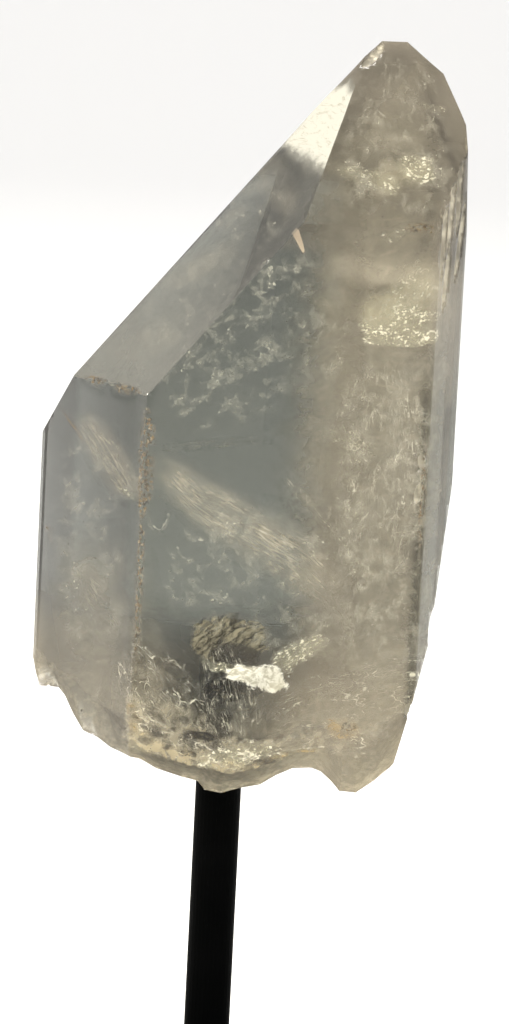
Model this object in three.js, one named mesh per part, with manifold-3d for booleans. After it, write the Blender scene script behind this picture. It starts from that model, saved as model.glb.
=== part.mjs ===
// Quartz crystal held upright on a round rod with a plain disc foot.
// Millimetres, +Z up, the front towards -Y, the rod's axis on the Z axis, the ground at z = 0.
import * as THREE from 'three';
import { ConvexGeometry } from 'three/addons/geometries/ConvexGeometry.js';
import { mergeVertices } from 'three/addons/utils/BufferGeometryUtils.js';
import Module from 'manifold-3d';

// Stand
const footRadius = 55;
const footHeight = 10;
const footEdge = 1.2;
const rodRadius = 4.1;
const rodTop = 99;
const rodEdge = 0.4;
const socketFloor = 4;
const fitGap = 0.3;
// Flats around the round solids
const rodSides = 32;
const footSides = 96;

// Drilled hole in the crystal's base
const holeTop = 99.5;
const drillPoint = 2.4;

// Natural faces of the crystal.
// Each line: turn from the front towards the left and lean of the outward direction, in degrees,
// then the distance in mm from the centre point on the rod's axis.
const centreHeight = 140;
const faces = {
  front: [-5, 0, 21.0],
  leftFront: [55, 0, 25.7],
  leftBack: [115, 0, 33.1],
  back: [175, 0, 23.0],
  rightBack: [-125, 0, 27.3],
  rightFront: [-65, 0, 38.0],
  tipLeftFront: [55, 35.5, 23.2],
  tipLeftBack: [115, 35.5, 22.5],
  tipBack: [175, 35.5, 38.5],
  tipRightBack: [-125, 35.5, 57.2],
  tipRightFront: [-65, 35.5, 60.3],
  tipFront: [-5, 35.5, 37.4],
  wornRightEdge: [-95, 3, 39.4],
  brokenLowerRight: [-89, -13.7, 44.2],
  brokenMiddleRight: [-93, -6.2, 39.1],
};
// The crystal's block is cut off here, below its broken base
const lowestCut = 66;
// Cutters pass this far beyond what they cut
const cutMargin = 6;

// Rim of the broken base as seen from the front, then from the back: [x, height]
const frontRim = [
  [-46, 93], [-34.2, 88], [-33.1, 86.4], [-29.4, 87.5], [-28.1, 86.5], [-26.4, 83.8], [-24.4, 81.4],
  [-21.7, 81.2], [-19.3, 80.3], [-16.9, 80.1], [-13.9, 79.6], [-11, 78], [-6.4, 76.6], [-3.5, 75.9],
  [-2.3, 74.4], [0.6, 73.9], [3.9, 74.9], [7.3, 75.6], [10.1, 77.4], [12.8, 78.7], [16.3, 78.9],
  [17.9, 78.3], [19.8, 76.6], [21.3, 74.9], [24.2, 74.7], [27.2, 76.8], [29.9, 79.3], [32, 82], [46, 84],
];
const backRim = [
  [-46, 98], [-33, 94], [-27, 86], [-21, 88.5], [-14, 83], [-8, 81.5], [-2, 84.5],
  [5, 80], [11, 81.5], [17, 86], [24, 82.5], [31, 88], [46, 90],
];
// Rows of the broken surface, from in front of the crystal (below 0) to behind it (above 1)
const baseRows = [-0.2, 0, 0.12, 0.26, 0.4, 0.54, 0.68, 0.82, 1, 1.2];
// Shell-shaped hollows in the broken surface: [x, y, reach, depth]
const baseHollows = [
  [-19, -4, 13, 5.0],
  [15, -6, 12, 4.2],
  [22, 8, 12, 5.5],
  [-4, 15, 11, 3.6],
  [-26, 9, 9, 3.0],
];
// Small unevenness of the broken surface: its height, then two waves as turns per mm in x and y
const baseRoughness = 0.8;
const baseWaves = [[1.9, 0.8], [-0.7, 1.3]];
// The front and back faces are followed out to this x, past which they would meet
const widestX = 33;

// Shell-shaped chips.
// Each line: face, then mm across and up from the face's nearest point to the centre,
// then half width, half height and depth in mm, then turn on the face in degrees.
const chips = [
  ['tipFront', 20.4, 50.6, 1.5, 3.6, 0.8, -38],
  ['leftFront', -2.0, 4.6, 3.4, 0.9, 0.4, 3],
  ['front', 29.8, 36.6, 1.9, 1.1, 0.7, 0],
  ['front', 31.0, -6.0, 0.9, 1.8, 0.5, 10],
  ['front', 30.6, -11.6, 0.8, 2.4, 0.4, -8],
  ['front', 31.1, -50.2, 0.9, 1.6, 0.5, 0],
  ['rightFront', -3.6, -36.0, 1.4, 3.6, 0.6, -6],
  ['rightFront', 6.5, -37.5, 4.2, 6.0, 1.6, 0],
];
// Upright splinter hollows of the rough strip along the right edge, in the same form
const splinters = [
  ['rightFront', -0.2, 33.0, 1.2, 8.5, 0.4, -3],
  ['rightFront', 1.7, 25.5, 1.2, 6.4, 0.4, -9],
  ['rightFront', 2.6, 38.0, 1.2, 9.0, 0.5, -6],
  ['rightFront', 5.6, 41.0, 1.4, 9.5, 0.5, -2],
  ['rightFront', 6.9, 31.5, 1.2, 8.0, 0.4, -12],
];
// A chip is the cap of a flattened ball this many chip depths thick
const ballDepths = 3;
const ballDetail = 1;

const mergeDistance = 1e-4;
const nearlyParallel = 1e-6;
const touching = 1e-4;

const quartzLook = { color: 0xb9b6a6, roughness: 0.1, metalness: 0, transparent: true, opacity: 0.6 };
const blackLook = { color: 0x121212, roughness: 0.4, metalness: 0 };

const wasm = await Module();
wasm.setup();

const radians = (degrees) => (degrees * Math.PI) / 180;
const mix = (a, b, part) => a + (b - a) * part;

function toManifold(geometry) {
  const bare = geometry.clone();
  bare.deleteAttribute('normal');
  bare.deleteAttribute('uv');
  const merged = mergeVertices(bare, mergeDistance);
  return new wasm.Manifold(new wasm.Mesh({
    numProp: 3,
    vertProperties: new Float32Array(merged.attributes.position.array),
    triVerts: new Uint32Array(merged.index.array),
  }));
}

function toMesh(manifold, name, look) {
  const mesh = manifold.getMesh();
  const geometry = new THREE.BufferGeometry();
  geometry.setAttribute('position', new THREE.BufferAttribute(new Float32Array(mesh.vertProperties), 3));
  geometry.setIndex(new THREE.BufferAttribute(new Uint32Array(mesh.triVerts), 1));
  const flat = geometry.toNonIndexed();
  flat.computeVertexNormals();
  const result = new THREE.Mesh(flat, new THREE.MeshStandardMaterial(look));
  result.name = name;
  return result;
}

// Closed solid from points and triangles, turned outward when its volume comes out negative
function solidFrom(points, triangles) {
  let volume = 0;
  for (const [a, b, c] of triangles) {
    volume += points[a].dot(points[b].clone().cross(points[c]));
  }
  const turned = volume < 0 ? triangles.map(([a, b, c]) => [a, c, b]) : triangles;
  return new wasm.Manifold(new wasm.Mesh({
    numProp: 3,
    vertProperties: new Float32Array(points.flatMap((point) => point.toArray())),
    triVerts: new Uint32Array(turned.flat()),
  }));
}

// Round solid on the Z axis from [radius, height] pairs that start and end on the axis
function turnedSolid(profile, sides) {
  const points = [];
  const triangles = [];
  const rings = [];
  for (const [radius, height] of profile) {
    const ring = [];
    const count = radius === 0 ? 1 : sides;
    for (let i = 0; i < count; i += 1) {
      const angle = (2 * Math.PI * i) / sides;
      ring.push(points.length);
      points.push(new THREE.Vector3(radius * Math.cos(angle), radius * Math.sin(angle), height));
    }
    rings.push(ring);
  }
  for (let r = 0; r + 1 < rings.length; r += 1) {
    const lower = rings[r];
    const upper = rings[r + 1];
    for (let i = 0; i < sides; i += 1) {
      const next = (i + 1) % sides;
      if (lower.length > 1) {
        triangles.push([lower[i], lower[next], upper[i % upper.length]]);
      }
      if (upper.length > 1) {
        triangles.push([lower[next % lower.length], upper[next], upper[i]]);
      }
    }
  }
  return solidFrom(points, triangles);
}

// Outward direction, across and up directions and nearest point of a face
function faceFrame(name) {
  const [turn, lean, distance] = faces[name];
  const a = radians(turn);
  const e = radians(lean);
  const out = new THREE.Vector3(-Math.sin(a) * Math.cos(e), -Math.cos(a) * Math.cos(e), Math.sin(e));
  const across = new THREE.Vector3(Math.cos(a), -Math.sin(a), 0);
  const up = out.clone().cross(across);
  const nearest = new THREE.Vector3(0, 0, centreHeight).addScaledVector(out, distance);
  return { out, across, up, nearest, offset: out.dot(nearest) };
}

// Corners where three faces meet and no other face cuts them away
function crystalCorners() {
  const planes = Object.keys(faces).map(faceFrame);
  planes.push({ out: new THREE.Vector3(0, 0, -1), offset: -lowestCut });
  const corners = [];
  for (let i = 0; i < planes.length; i += 1) {
    for (let j = i + 1; j < planes.length; j += 1) {
      for (let k = j + 1; k < planes.length; k += 1) {
        const [p, q, r] = [planes[i], planes[j], planes[k]];
        const qr = q.out.clone().cross(r.out);
        const share = p.out.dot(qr);
        if (Math.abs(share) > nearlyParallel) {
          const corner = qr.multiplyScalar(p.offset)
            .addScaledVector(r.out.clone().cross(p.out), q.offset)
            .addScaledVector(p.out.clone().cross(q.out), r.offset)
            .divideScalar(share);
          if (planes.every((plane) => plane.out.dot(corner) < plane.offset + touching)) {
            corners.push(corner);
          }
        }
      }
    }
  }
  return corners;
}

// Height along a rim at x
function rimHeight(rim, x) {
  const i = Math.max(1, rim.findIndex((point) => point[0] >= x));
  const [x0, z0] = rim[i - 1];
  const [x1, z1] = rim[i];
  return mix(z0, z1, (x - x0) / (x1 - x0));
}

// Where the named upright faces stand at x: their y
function faceY(name, x) {
  const { out, offset } = faceFrame(name);
  return (offset - out.x * x) / out.y;
}

// Height of the broken base at x, y, where part runs from 0 at the front rim to 1 at the back rim
function baseHeight(x, y, part, frontHeight) {
  const inward = Math.sin(Math.PI * part);
  let z = mix(frontHeight, rimHeight(backRim, x), part);
  for (const [hollowX, hollowY, reach, depth] of baseHollows) {
    const away = Math.hypot(x - hollowX, y - hollowY) / reach;
    z += inward * depth * Math.max(0, 1 - away * away);
  }
  const [first, second] = baseWaves;
  const rough = Math.sin(first[0] * x + first[1] * y) + Math.cos(second[0] * x + second[1] * y);
  return z + baseRoughness * rough * inward;
}

// Solid that takes away everything below the broken base surface
function baseCutter() {
  const points = [];
  const triangles = [];
  const rows = baseRows.length;
  const columns = frontRim.length;
  for (const [x, frontHeight] of frontRim) {
    const inside = Math.min(widestX, Math.max(-widestX, x));
    const frontY = Math.max(...['leftFront', 'front', 'rightFront'].map((name) => faceY(name, inside)));
    const backY = Math.min(...['leftBack', 'back', 'rightBack'].map((name) => faceY(name, inside)));
    for (const row of baseRows) {
      const part = Math.min(1, Math.max(0, row));
      const beyond = Math.sign(row - part) * cutMargin;
      const y = mix(frontY, backY, part) + beyond;
      points.push(new THREE.Vector3(x, y, baseHeight(x, y, part, frontHeight)));
    }
  }
  const upper = points.length;
  for (let i = 0; i < upper; i += 1) {
    points.push(new THREE.Vector3(points[i].x, points[i].y, lowestCut - cutMargin));
  }
  for (let c = 0; c + 1 < columns; c += 1) {
    for (let r = 0; r + 1 < rows; r += 1) {
      const a = c * rows + r;
      triangles.push([a, a + rows, a + rows + 1], [a, a + rows + 1, a + 1]);
      const b = upper + a;
      triangles.push([b, b + rows + 1, b + rows], [b, b + 1, b + rows + 1]);
    }
  }
  const addWall = (a, b) => triangles.push([a, upper + a, upper + b], [a, upper + b, b]);
  for (let c = 0; c + 1 < columns; c += 1) {
    addWall(c * rows, (c + 1) * rows);
    addWall((c + 1) * rows + rows - 1, c * rows + rows - 1);
  }
  for (let r = 0; r + 1 < rows; r += 1) {
    addWall(r + 1, r);
    addWall((columns - 1) * rows + r, (columns - 1) * rows + r + 1);
  }
  return solidFrom(points, triangles);
}

// Flattened ball whose cap sinks into a face
function chipCutter([name, acrossAt, upAt, halfWidth, halfHeight, depth, turn]) {
  const { out, across, up, nearest } = faceFrame(name);
  const thickness = ballDepths * depth;
  const capShare = Math.sqrt(1 - (1 - 1 / ballDepths) ** 2);
  const turned = across.clone().applyAxisAngle(out, radians(turn));
  const turnedUp = up.clone().applyAxisAngle(out, radians(turn));
  const centre = nearest.clone()
    .addScaledVector(across, acrossAt)
    .addScaledVector(up, upAt)
    .addScaledVector(out, thickness - depth);
  const ball = new THREE.IcosahedronGeometry(1, ballDetail);
  ball.scale(halfWidth / capShare, halfHeight / capShare, thickness);
  ball.applyMatrix4(new THREE.Matrix4().makeBasis(turned, turnedUp, out).setPosition(centre));
  return toManifold(ball);
}

function buildCrystal() {
  let crystal = toManifold(new ConvexGeometry(crystalCorners()));
  crystal = crystal.subtract(baseCutter());
  for (const chip of [...chips, ...splinters]) {
    crystal = crystal.subtract(chipCutter(chip));
  }
  const holeRadius = rodRadius + fitGap;
  const hole = turnedSolid([
    [0, lowestCut - cutMargin],
    [holeRadius, lowestCut - cutMargin],
    [holeRadius, holeTop],
    [0, holeTop + drillPoint],
  ], rodSides);
  return crystal.subtract(hole);
}

function buildRod() {
  const rodFoot = socketFloor + fitGap;
  return turnedSolid([
    [0, rodFoot],
    [rodRadius - rodEdge, rodFoot],
    [rodRadius, rodFoot + rodEdge],
    [rodRadius, rodTop - rodEdge],
    [rodRadius - rodEdge, rodTop],
    [0, rodTop],
  ], rodSides);
}

function buildFoot() {
  const socketRadius = rodRadius + fitGap;
  return turnedSolid([
    [0, 0],
    [footRadius - footEdge, 0],
    [footRadius, footEdge],
    [footRadius, footHeight - footEdge],
    [footRadius - footEdge, footHeight],
    [socketRadius, footHeight],
    [socketRadius, socketFloor],
    [0, socketFloor],
  ], footSides);
}

const part = new THREE.Group();
part.name = 'quartz_crystal_on_stand';
part.add(toMesh(buildCrystal(), 'quartz_crystal', quartzLook));
part.add(toMesh(buildRod(), 'stand_rod', blackLook));
part.add(toMesh(buildFoot(), 'stand_base', blackLook));

export default part;
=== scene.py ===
# Quartz crystal on its rod stand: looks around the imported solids, in metres, Z up.
import math

import bmesh
import bpy
import numpy as np
from mathutils import Matrix


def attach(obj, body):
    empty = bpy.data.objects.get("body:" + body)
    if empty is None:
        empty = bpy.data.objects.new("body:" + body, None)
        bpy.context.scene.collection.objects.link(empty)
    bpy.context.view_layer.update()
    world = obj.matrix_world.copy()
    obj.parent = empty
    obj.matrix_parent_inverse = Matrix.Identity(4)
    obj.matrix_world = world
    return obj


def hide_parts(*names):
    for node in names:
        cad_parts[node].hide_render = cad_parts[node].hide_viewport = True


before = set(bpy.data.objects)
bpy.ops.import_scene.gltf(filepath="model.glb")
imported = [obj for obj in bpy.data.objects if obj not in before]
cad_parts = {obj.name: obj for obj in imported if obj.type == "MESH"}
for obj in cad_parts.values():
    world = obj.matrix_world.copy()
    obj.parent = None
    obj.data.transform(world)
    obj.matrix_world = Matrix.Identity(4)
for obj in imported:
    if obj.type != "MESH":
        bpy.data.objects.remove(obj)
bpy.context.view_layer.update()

mm = 0.001


def addObject(name, data):
    made = bpy.data.objects.new(name, data)
    bpy.context.scene.collection.objects.link(made)
    return made


def makeMesh(name, points, faces):
    mesh = bpy.data.meshes.new(name)
    mesh.from_pydata(points.tolist(), [], faces.tolist())
    mesh.polygons.foreach_set("use_smooth", np.ones(len(faces), bool))
    return mesh


def aim(thing, right, up, back, place):   # a camera or lamp looks along -back
    turn = np.eye(4)
    turn[:3] = np.stack([right, up, back, place], 1)
    thing.matrix_world = Matrix(turn.tolist())


# The photograph's view. Its rod is rodPixels wide and rodWidth across, which sets the scale.
photoView = {
    "pixelsWide": 509,
    "pixelsHigh": 1024,
    "rodPixels": 45,
    "rodWidth": 8 * mm,
    "elevation": 10.0,       # degrees above the horizon
    "lean": 2.9,             # degrees that uprights lean to the right
    "distance": 0.9,
    "rimPixel": (218, 790),  # where the rod's axis passes the height below
    "rimHeight": 70 * mm,
    "sensor": 36.0,
}


def makeView(view):
    # The camera's directions right, up and forward, its place, and a pixel's size at the rod's axis
    tilt, lean = math.radians(view["elevation"]), math.radians(view["lean"])
    level = np.array([1.0, 0.0, 0.0])
    rise = np.array([0.0, math.sin(tilt), math.cos(tilt)])
    forward = np.array([0.0, math.cos(tilt), -math.sin(tilt)])
    right = math.cos(lean) * level + math.sin(lean) * rise
    up = -math.sin(lean) * level + math.cos(lean) * rise
    scale = view["rodWidth"] / view["rodPixels"]
    middle = np.array([view["pixelsWide"] / 2, view["pixelsHigh"] / 2])
    offX = (middle[0] - view["rimPixel"][0]) * scale
    offY = (view["rimPixel"][1] - middle[1]) * scale
    # a point of the plane y = 0 seen at the middle of the picture
    alongX, alongZ = np.linalg.solve([[right[0], right[2]], [up[0], up[2]]], [offX, offY])
    target = np.array([alongX, 0.0, view["rimHeight"] + alongZ])
    return {
        "right": right, "up": up, "forward": forward, "target": target,
        "place": target - forward * view["distance"], "scale": scale, "middle": middle,
    }


view = makeView(photoView)


def makeCamera():
    data = bpy.data.cameras.new("photoCamera")
    camera = addObject("photoCamera", data)
    frameHeight = photoView["pixelsHigh"] * view["scale"]
    data.sensor_width = photoView["sensor"]
    data.lens = photoView["sensor"] * photoView["distance"] / frameHeight
    data.clip_start = 0.01
    aim(camera, view["right"], view["up"], -view["forward"], view["place"])
    bpy.context.scene.camera = camera


makeCamera()
print("camera made")


# Shader maths. A wire is a node's output; + - * / on values add Math nodes, on vectors Vector Math.
class Wire:
    def __init__(self, finish, socket):
        self.finish, self.socket = finish, socket

    def combine(self, operation, first, second):
        vector = any(isinstance(x, Wire) and x.socket.type != "VALUE" for x in (first, second))
        kind = "VectorMath" if vector else "Math"
        if vector:
            first, second = [x if isinstance(x, (Wire, tuple)) else (x, x, x) for x in (first, second)]
        return self.finish.node(kind, {"operation": operation}, {0: first, 1: second})

    def __add__(self, other):
        return self.combine("ADD", self, other)

    def __sub__(self, other):
        return self.combine("SUBTRACT", self, other)

    def __rsub__(self, other):
        return self.combine("SUBTRACT", other, self)

    def __mul__(self, other):
        return self.combine("MULTIPLY", self, other)

    def __truediv__(self, other):
        return self.combine("DIVIDE", self, other)

    __radd__, __rmul__ = __add__, __mul__


class Finish:
    def __init__(self, name):
        self.material = bpy.data.materials.new(name)
        self.material.use_nodes = True
        self.tree = self.material.node_tree
        self.tree.nodes.clear()
        self.output = self.tree.nodes.new("ShaderNodeOutputMaterial")

    def node(self, kind, settings=None, sockets=None, output=0):
        made = self.tree.nodes.new("ShaderNode" + kind)
        for key, value in (settings or {}).items():
            if key == "stops":
                self.setStops(made.color_ramp, value)
            else:
                setattr(made, key, value)
        for key, value in (sockets or {}).items():
            socket = made.inputs[key]
            if isinstance(value, Wire):
                self.tree.links.new(value.socket, socket)
            else:
                socket.default_value = value
        return Wire(self, made.outputs[output])

    def setStops(self, ramp, stops):
        while len(ramp.elements) < len(stops):
            ramp.elements.new(0.5)
        for element, (position, colour) in zip(ramp.elements, stops):
            element.position = position
            element.color = colour

    def noise(self, vector, scale, detail=3.0, roughness=0.55, distortion=0.0):
        return self.node("TexNoise", None, {
            "Vector": vector, "Scale": scale, "Detail": detail,
            "Roughness": roughness, "Distortion": distortion})

    def noiseColour(self, vector, scale):
        return self.node("TexNoise", None, {"Vector": vector, "Scale": scale}, output=1)

    def ridged(self, vector, scale, roughness=0.62, distortion=0.25):   # fibres, 0 to about 3.5
        return self.node("TexNoise", {"noise_type": "RIDGED_MULTIFRACTAL"}, {
            "Vector": vector, "Scale": scale, "Detail": 4.0, "Roughness": roughness,
            "Distortion": distortion, "Offset": 1.0, "Gain": 2.0})

    def split(self, vector):              # the three values of a vector
        made = self.node("SeparateXYZ", None, {0: vector})
        return [Wire(self, output) for output in made.socket.node.outputs]

    def attribute(self, name):
        return self.node("Attribute", {"attribute_name": name}, output="Fac")

    def largest(self, first, second):
        return self.node("Math", {"operation": "MAXIMUM"}, {0: first, 1: second})

    def away(self, value, middle):        # distance of a value from a middle value
        return self.node("Math", {"operation": "ABSOLUTE"}, {0: value - middle})

    def ramp(self, value, low, high, kind="SMOOTHSTEP"):   # 0 below low, 1 above high
        if low > high:                    # a falling ramp: 1 below high, 0 above low
            return 1 - self.ramp(value, high, low, kind)
        return self.node("MapRange", {"interpolation_type": kind}, {
            "Value": value, "From Min": low, "From Max": high})

    def spot(self, vector, centre, reach, edge=0.5):   # 1 inside an ellipsoid of half sizes reach
        away = (vector - tuple(centre)) / tuple(reach)
        far = self.node("VectorMath", {"operation": "LENGTH"}, {0: away}, output="Value")
        return self.ramp(far, 1.0, 1.0 - edge)

    def blend(self, factor, first, second):   # sockets 6 and 7 take colours, output 2 gives one
        return self.node("Mix", {"data_type": "RGBA"}, {0: factor, 6: first, 7: second}, output=2)

    def bump(self, height, strength, distance):
        return self.node("Bump", None, {"Height": height, "Strength": strength, "Distance": distance})

    def surface(self, shader, volume=None):
        self.tree.links.new(shader.socket, self.output.inputs["Surface"])
        if volume:
            self.tree.links.new(volume.socket, self.output.inputs["Volume"])
        return self.material


# Natural faces of the crystal: turn and lean in degrees, distance from its centre in mm
crystalCentre = np.array([0, 0, 140 * mm])
quartzIor = 1.544
crystalFaces = {
    "front": (-5, 0, 21.0),
    "leftFront": (55, 0, 25.7),
    "leftBack": (115, 0, 33.1),
    "back": (175, 0, 23.0),
    "rightBack": (-125, 0, 27.3),
    "rightFront": (-65, 0, 38.0),
    "tipLeftFront": (55, 35.5, 23.2),
    "tipLeftBack": (115, 35.5, 22.5),
    "tipBack": (175, 35.5, 38.5),
    "tipRightBack": (-125, 35.5, 57.2),
    "tipRightFront": (-65, 35.5, 60.3),
    "tipFront": (-5, 35.5, 37.4),
}
# Worn and broken flats on the right, as above
wornFaces = {
    "wornRightEdge": (-95, 3, 39.4),
    "brokenLowerRight": (-89, -13.7, 44.2),
    "brokenMiddleRight": (-93, -6.2, 39.1),
}


def facePlane(place):
    # Outward direction of a face and its distance from the world's origin
    turn, lean, distance = place
    turn, lean = math.radians(turn), math.radians(lean)
    out = np.array([-math.sin(turn) * math.cos(lean), -math.cos(turn) * math.cos(lean), math.sin(lean)])
    return out, distance * mm + out @ crystalCentre


# The broken base's height along x, in metres, at its front rim and from deeper inside on
baseRim = {
    "x": np.array([-35, -31, -26, -20, -12, -4, 2, 9, 14, 19, 23, 28, 33]) * mm,
    "front": np.array([91, 88.3, 84.8, 82, 80.1, 77.6, 76.1, 78.4, 80.1, 79.1, 76.8, 79.3, 85]) * mm,
    "deep": np.array([95, 92, 88, 86, 84, 81, 80, 82, 84, 84, 83, 85, 88]) * mm,
    "frontY": -21 * mm,
    "deepY": -13 * mm,
}
facePlanes = {name: facePlane(place) for name, place in {**crystalFaces, **wornFaces}.items()}


def seenAt(pixels, face, depth=0.0):
    # Points of the crystal seen at photo pixels: the camera's ray to the face, bent there by
    # refraction, then followed for depth metres. pixels is (..., 2), depth a number or (...).
    pixels = np.asarray(pixels, float)
    offset = (pixels - view["middle"]) * view["scale"]
    sight = (view["forward"] * photoView["distance"]
             + offset[..., :1] * view["right"] - offset[..., 1:] * view["up"])
    ray = sight / np.linalg.norm(sight, axis=-1, keepdims=True)
    out, distance = facePlanes[face]
    cosine = ray @ out
    travel = (distance - view["place"] @ out) / cosine
    hit = view["place"] + ray * travel[..., None]
    inside = (ray - cosine[..., None] * out) / quartzIor
    sink = np.sqrt(1 - (inside ** 2).sum(-1))
    bent = inside - sink[..., None] * out
    return hit + bent * np.asarray(depth, float)[..., None]


def roomInside(points):
    # How far points lie inside the crystal: the least distance to its faces and to its broken base
    room = np.min([far - points @ side for side, far in facePlanes.values()], axis=0)
    front, deep = [np.interp(points[..., 0], baseRim["x"], baseRim[key]) for key in ("front", "deep")]
    part = np.clip((points[..., 1] - baseRim["frontY"]) / (baseRim["deepY"] - baseRim["frontY"]), 0, 1)
    return np.minimum(room, points[..., 2] - front - part * (deep - front))


# Stage: a pale floor that curves up into a pale backdrop, a soft sky and three soft lamps
stageLook = {
    "colour": (0.86, 0.86, 0.85, 1),
    "halfWidth": 4.0,
    "front": -2.5,
    "bend": 1.6,             # where the floor starts to rise
    "radius": 1.2,
    "height": 3.2,
    "sky": (0.97, 0.97, 1.0, 1),
    "skyStrength": 0.8,
}


def makeStage():
    # Floor and backdrop: a straight run, a quarter circle and a straight rise, carried across x
    look = stageLook
    turn = np.linspace(0, math.pi / 2, 24)
    y = np.concatenate([[look["front"]], look["bend"] + look["radius"] * np.sin(turn),
                        [look["bend"] + look["radius"]]])
    z = np.concatenate([[0.0], look["radius"] * (1 - np.cos(turn)), [look["height"]]])
    across = np.array([-look["halfWidth"], look["halfWidth"]])
    points = np.stack([np.repeat(across[None], len(y), 0), np.repeat(y[:, None], 2, 1),
                       np.repeat(z[:, None], 2, 1)], -1).reshape(-1, 3)
    first = np.arange(len(y) - 1) * 2
    faces = np.stack([first, first + 1, first + 3, first + 2], 1)
    floor = addObject("floor", makeMesh("floor", points, faces))
    finish = Finish("paleFloor")
    shader = finish.node("BsdfPrincipled", None, {"Base Color": look["colour"], "Roughness": 0.8})
    floor.data.materials.append(finish.surface(shader))


def makeSky():
    world = bpy.data.worlds.new("studioSky")
    bpy.context.scene.world = world
    world.use_nodes = True
    background = world.node_tree.nodes["Background"]
    background.inputs["Color"].default_value = stageLook["sky"]
    background.inputs["Strength"].default_value = stageLook["skyStrength"]


# Each lamp: place, size, watts, colour
lamps = {
    "keyLamp": ((-0.9, -0.7, 0.9), 0.4, 30, (1.0, 0.95, 0.84)),
    "fillLamp": ((0.9, -0.9, 0.5), 0.6, 9, (1.0, 0.97, 0.92)),
    "topLamp": ((-0.2, 0.3, 1.3), 0.6, 14, (1.0, 0.97, 0.92)),
}


def makeLamps():
    for name, (place, size, watts, colour) in lamps.items():
        data = bpy.data.lights.new(name, "AREA")
        data.size, data.energy, data.color = size, watts, colour
        lamp = addObject(name, data)
        back = np.array(place) - view["target"]
        back /= np.linalg.norm(back)
        side = np.cross([0, 0, 1.0], back)
        side /= np.linalg.norm(side)
        aim(lamp, side, np.cross(back, side), back, place)


makeStage()
makeSky()
makeLamps()
bpy.context.scene.view_settings.view_transform = "Standard"
print("stage made")

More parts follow.
